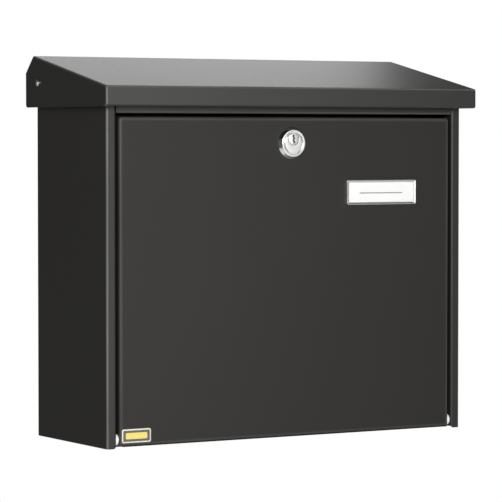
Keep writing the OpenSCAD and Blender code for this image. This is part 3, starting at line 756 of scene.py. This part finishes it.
STOP_AT, STOP_R, STOP_L = 6.8, 0.9, 0.8      # the stop pin: below the plug's axis, radius, length
barrel_l = LOCK_HIGH[1] - STOP_L
PLUG_R, PLUG_GAP = 5.0, 0.05
bore_r = PLUG_R + PLUG_GAP
plug_z = PLUG_HIGH[2] - PLUG_R
plug_up = plug_z - lock_centre[2]
FACE_R, GROOVE_OUT, GROOVE_IN, GROOVE_DEEP, BARREL_R, FLAT_X = 11.5, 9.4, 8.5, 1.4, 9.5, 8.0
ROUND_STEPS = 96
# The lock is one ring, closed on itself. Its rows are circles of (radius, depth, height of the centre
# above the lock's own), and the barrel's rows are cut off at FLAT_X on both sides.
lock_rows = [(bore_r, barrel_l, plug_up), (bore_r, -proud + 0.35, plug_up),
             (PLUG_R + 0.2, -proud + 0.12, plug_up * 0.98), (PLUG_R + 0.5, -proud + 0.05, plug_up * 0.88),
             (GROOVE_IN - 0.25, -proud + 0.05, 0), (GROOVE_IN - 0.05, -proud + 0.2, 0),
             (GROOVE_IN, -proud + GROOVE_DEEP, 0), (GROOVE_OUT, -proud + GROOVE_DEEP, 0),
             (GROOVE_OUT + 0.05, -proud + 0.2, 0), (GROOVE_OUT + 0.3, -proud, 0), (FACE_R - 0.6, -proud, 0),
             (FACE_R - 0.2, -proud + 0.15, 0), (FACE_R + 0.1, -proud + 0.5, 0), (base_r - 0.5, -0.9, 0),
             (base_r - 0.1, -0.4, 0), (base_r, -0.1, 0), (base_r - 0.1, 0, 0), (BARREL_R, 0, 0)]
THREAD_FROM, THREAD_SHORT, PITCH, THREAD_DEEP, BARREL_CUT = 4.5, 0.6, 1.0, 0.3, 0.4
for k in range(int((barrel_l - THREAD_SHORT - THREAD_FROM) / PITCH * 2)):
    lock_rows.append((BARREL_R - THREAD_DEEP * (k % 2), THREAD_FROM + k * PITCH / 2, 0))
lock_rows += [(BARREL_R - BARREL_CUT, barrel_l, 0), (bore_r, barrel_l, plug_up)]
radius, depth, centre_up = (np.array(column)[:, None] for column in zip(*lock_rows))
spin = np.linspace(0, 2 * math.pi, ROUND_STEPS, endpoint=False)[None]
BARREL_FROM = 0.05    # depth past which a row lies on the barrel
flat_at = np.where(depth > BARREL_FROM, FLAT_X, base_r)
lock_x = lock_centre[0]
ring_x = np.clip(radius * np.cos(spin), -flat_at, flat_at) + lock_x
ring_z = radius * np.sin(spin) + centre_up + lock_centre[2]
lock_points = np.stack([ring_x, np.broadcast_to(depth, ring_x.shape), ring_z], -1).reshape(-1, 3)
lock_ring = make_piece("lock_ring", lock_points, grid_faces(len(lock_rows), ROUND_STEPS, wrap=True),
                       crease=40)
dress(lock_ring, chrome, "door")
lock_ring.data.materials.append(plug_metal)     # on the faces that look straight forward
FORWARD = -0.8
facing = np.zeros(len(lock_ring.data.polygons) * 3)
lock_ring.data.polygons.foreach_get("normal", facing)
lock_ring.data.polygons.foreach_set("material_index", (facing[1::3] < FORWARD).astype(int))
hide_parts("lock_body")

# The pin on the barrel's rear face, which stops the washer's notch at each end of the quarter turn.
ROOTED = 0.5          # how deep the pin and the plug's drive start inside what carries them
stop_pin = turned("lock_stop_pin", [(0, barrel_l - ROOTED), (STOP_R, barrel_l - ROOTED),
                                    (STOP_R, LOCK_HIGH[1]), (0, LOCK_HIGH[1])],
                  [(lock_x, 0, plug_z - STOP_AT)], "y", fillet=0.1)
dress(stop_pin, chrome, "door")

# The plug's face lies between a circle and the keyway. The keyway's sides follow a crooked line, and
# every row moves the two outlines in, out or back together.
KEY_HALF, KEY_WIDE, KEY_SWING, KEY_DEEP = 3.4, 0.7, 0.5, 7.0
KEY_BENDS_Z = [-3.4, -1.9, -0.7, 0.5, 1.7, 3.4]
KEY_BENDS_X = [0.6, 0.6, -1, 0.9, -0.8, -0.8]     # shares of KEY_SWING
KEY_TAPER, KEY_FLARE = 0.9, 1.06      # size of the keyway at its bottom and at its mouth
KEY_FAN = 0.4         # share of the crook that the spokes to the circle start from
key_z = np.linspace(-KEY_HALF, KEY_HALF, 25)
crook = KEY_SWING * np.interp(key_z, KEY_BENDS_Z, KEY_BENDS_X)
key_outline = np.concatenate([np.stack([crook + KEY_WIDE, key_z], -1),
                              np.stack([crook - KEY_WIDE, key_z], -1)[::-1]])
spoke_from = np.concatenate([crook, crook[::-1]]) * KEY_FAN
key_angle = np.arctan2(key_outline[:, 1], key_outline[:, 0] - spoke_from)
circle = np.stack([np.cos(key_angle), np.sin(key_angle)], -1)
plug_front = PLUG_LOW[1]


def plug_row(points, y):
    """A loop round the plug's axis, at one depth."""
    return np.column_stack([points[:, 0] + lock_x, np.full(len(points), y), points[:, 1] + plug_z])


plug_rows = np.stack([
    plug_row(key_outline * KEY_TAPER, plug_front + KEY_DEEP), plug_row(key_outline, plug_front + 0.25),
    plug_row(key_outline * KEY_FLARE, plug_front), plug_row(circle * (PLUG_R - 0.35), plug_front),
    plug_row(circle * (PLUG_R - 0.05), plug_front + 0.15), plug_row(circle * PLUG_R, plug_front + 0.45),
    plug_row(circle * PLUG_R, barrel_l)])
loop = len(key_outline)
plug_faces = [*grid_faces(len(plug_rows), loop, wrap=True), np.arange(loop),
              np.arange(loop) + loop * (len(plug_rows) - 1)]
plug = make_piece("plug_face", plug_rows.reshape(-1, 3), plug_faces, crease=35)
dress(plug, plug_metal, "lock_cylinder")
DRIVE_R, DRIVE_L, THREAD_R = 3.2, 3.0, 2.45
drive = turned("plug_drive", [(0, barrel_l - ROOTED), (DRIVE_R, barrel_l - ROOTED),
                              (DRIVE_R, barrel_l + DRIVE_L), (THREAD_R, barrel_l + DRIVE_L + 0.2),
                              (THREAD_R, PLUG_HIGH[1] - 0.4), (2.1, PLUG_HIGH[1]), (0, PLUG_HIGH[1])],
               [(lock_x, 0, plug_z)], "y", fillet=0.1)
dress(drive, plug_metal, "lock_cylinder")
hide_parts("lock_plug")
for packed, width in (("lock_nut", 0.3), ("stop_washer", 0.1), ("lock_cam", 0.25), ("cam_nut", 0.25)):
    dress_packed(packed, zinc, width=width)

# ---------------------------------------------------------------- name plate
# A shallow frame with a sloping inner edge, pinned through the door; a white card lies in it under a
# clear acrylic cover. The card carries one plain grey writing line.
NAME_LOW, NAME_HIGH = bench_box("name_frame")
name_metal = finish_material("name_frame_metal", (0.74, 0.74, 0.73), 0.28, metallic=0.9, drift=0.06,
                             grain=1100.0, bump=0.08)
name_low, name_high = (NAME_LOW[0], NAME_LOW[2]), (NAME_HIGH[0], NAME_HIGH[2])
name_front = NAME_LOW[1]
RIM_WIDE, TRAY_FLOOR = 1.8, 0.6
name_frame = looped("name_frame_tray", name_low, name_high, 1.2, [
    (0.1, 0, 0), (0, -0.1, 0), (0, name_front + 0.35, 0), (0.08, name_front + 0.1, 0),
    (0.28, name_front, 0), (RIM_WIDE - 1.1, name_front, 0), (RIM_WIDE - 0.15, name_front + 0.55, 0),
    (RIM_WIDE, name_front + 0.65, 0), (RIM_WIDE, -TRAY_FLOOR, 0)])
dress(name_frame, name_metal, "door")
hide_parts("name_frame")
STUD_IN, STUD_R, STUD_TIP_R, STUD_TIP_L, STUD_ROOT = 6.0, 1.5, 1.1, 0.5, 0.3
name_z = (NAME_LOW[2] + NAME_HIGH[2]) / 2
studs = turned("name_studs", [(0, -STUD_ROOT), (STUD_R, -STUD_ROOT), (STUD_R, NAME_HIGH[1] - STUD_TIP_L),
                              (STUD_TIP_R, NAME_HIGH[1]), (0, NAME_HIGH[1])],
               [(x, 0, name_z) for x in (NAME_LOW[0] + STUD_IN, NAME_HIGH[0] - STUD_IN)], "y", fillet=0.1)
dress(studs, name_metal, "door")

CARD_LOW, CARD_HIGH = bench_box("name_card")
card_mix = finish_material("white_card", (0.88, 0.88, 0.87), 0.7, drift=0.02, grain=350.0, bump=0.1)
card = looped("card_sheet", (CARD_LOW[0], CARD_LOW[2]), (CARD_HIGH[0], CARD_HIGH[2]), 0.4, [
    (0.05, CARD_HIGH[1], 0), (0, CARD_HIGH[1] - 0.03, 0), (0, CARD_LOW[1] + 0.03, 0), (0.05, CARD_LOW[1], 0)])
dress(card, card_mix, "door")
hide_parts("name_card")
grey_ink = finish_material("grey_ink", (0.22, 0.22, 0.22), 0.8, drift=0.3, grain=900.0)
LINE_HALF, LINE_HALF_T, LINE_DOWN = 22, 0.5, 0.6
line_z = (CARD_LOW[2] + CARD_HIGH[2]) / 2 - LINE_DOWN
line_x = (CARD_LOW[0] + CARD_HIGH[0]) / 2
rule = looped("writing_line", (line_x - LINE_HALF, line_z - LINE_HALF_T),
              (line_x + LINE_HALF, line_z + LINE_HALF_T), 0.45, [
                  (0.03, CARD_LOW[1] + 0.02, 0), (0, CARD_LOW[1] - 0.03, 0), (0.04, CARD_LOW[1] - 0.06, 0)])
dress(rule, grey_ink, "door")
clear = finish_material("clear_acrylic", (0.98, 0.99, 1.0), 0.06, drift=0.01, grain=200.0, mottle=0.01,
                        bump=0.01, alpha=0.10)
WINDOW_LOW, WINDOW_HIGH = bench_box("name_window")
window = looped("clear_cover", (WINDOW_LOW[0], WINDOW_LOW[2]), (WINDOW_HIGH[0], WINDOW_HIGH[2]), 0.5, [
    (0.1, WINDOW_HIGH[1], 0), (0, WINDOW_HIGH[1] - 0.1, 0), (0, WINDOW_LOW[1] + 0.2, 0),
    (0.2, WINDOW_LOW[1], 0)])
dress(window, clear, "door")
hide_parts("name_window")

# ---------------------------------------------------------------- badge
# A small plate stuck to the door's lower left corner: a pale rolled rim round a black enamelled
# field, with one plain gold bar raised in the middle.
BADGE_LOW, BADGE_HIGH = bench_box("badge_plate")
badge_low, badge_high = BADGE_LOW[[0, 2]], BADGE_HIGH[[0, 2]]
badge_front = BADGE_LOW[1]
pale_metal = finish_material("pale_rim_metal", (0.72, 0.71, 0.60), 0.35, metallic=0.4, drift=0.08,
                             grain=900.0)
enamel = finish_material("black_enamel", (0.012, 0.012, 0.010), 0.15, drift=0.2, grain=300.0, coat=0.6)
gold = finish_material("gold_enamel", (0.80, 0.66, 0.16), 0.35, metallic=0.2, drift=0.25, grain=700.0)
BADGE_RIM, UNDER_RIM, BAR_HALF = 1.4, 0.9, [10, 2.6]
badge = looped("badge_rim", badge_low, badge_high, 1.5, [
    (0.05, 0, 0), (0, -0.1, 0), (0, badge_front + 0.3, 0), (0.12, badge_front + 0.08, 0),
    (0.35, badge_front, 0), (BADGE_RIM - 0.25, badge_front, 0), (BADGE_RIM, badge_front + 0.25, 0)])
dress(badge, pale_metal, "door")
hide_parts("badge_plate")
field = looped("badge_field", badge_low + BADGE_RIM * UNDER_RIM, badge_high - BADGE_RIM * UNDER_RIM, 0.8, [
    (0.05, badge_front + 0.4, 0), (0, badge_front + 0.3, 0), (0, badge_front + 0.2, 0),
    (0.1, badge_front + 0.15, 0)])
dress(field, enamel, "door")
badge_middle = (badge_low + badge_high) / 2
bar = looped("badge_bar", badge_middle - BAR_HALF, badge_middle + BAR_HALF, 1.0, [
    (0, badge_front + 0.2, 0), (0, badge_front + 0.1, 0), (0.2, badge_front + 0.02, 0)])
dress(bar, gold, "door")

# ---------------------------------------------------------------- floor of the studio
# A plain pale floor well below the hanging letterbox, bowed up a little at its edge. It glows
# faintly, so that it stays pale where the lights don't reach.
FLOOR_DROP, FLOOR_SIZE, FLOOR_BOW, FLOOR_POINTS, FLOOR_GLOW = 1.2, 5.0, 0.02, 25, 0.28
floor_span = np.linspace(-FLOOR_SIZE / 2, FLOOR_SIZE / 2, FLOOR_POINTS)
floor_x, floor_y = np.meshgrid(floor_span, floor_span, indexing="ij")
floor_z = cad_box[0][2] - FLOOR_DROP + FLOOR_BOW * (np.hypot(floor_x, floor_y) / (FLOOR_SIZE / 2)) ** 6
floor_mesh = bpy.data.meshes.new("studio_floor")
floor_mesh.from_pydata(np.stack([floor_x, floor_y, floor_z], -1).reshape(-1, 3), [],
                       grid_faces(FLOOR_POINTS, FLOOR_POINTS)[:, ::-1].tolist())
studio_floor = bpy.data.objects.new("studio_floor", floor_mesh)
pale_floor = finish_material("pale_floor", (0.88, 0.88, 0.87), 0.8, drift=0.03, grain=60.0)
floor_shader = pale_floor.node_tree.nodes["Principled BSDF"]
floor_shader.inputs["Emission Color"].default_value = (1, 1, 1, 1)
floor_shader.inputs["Emission Strength"].default_value = FLOOR_GLOW
floor_mesh.materials.append(pale_floor)
scene.collection.objects.link(studio_floor)
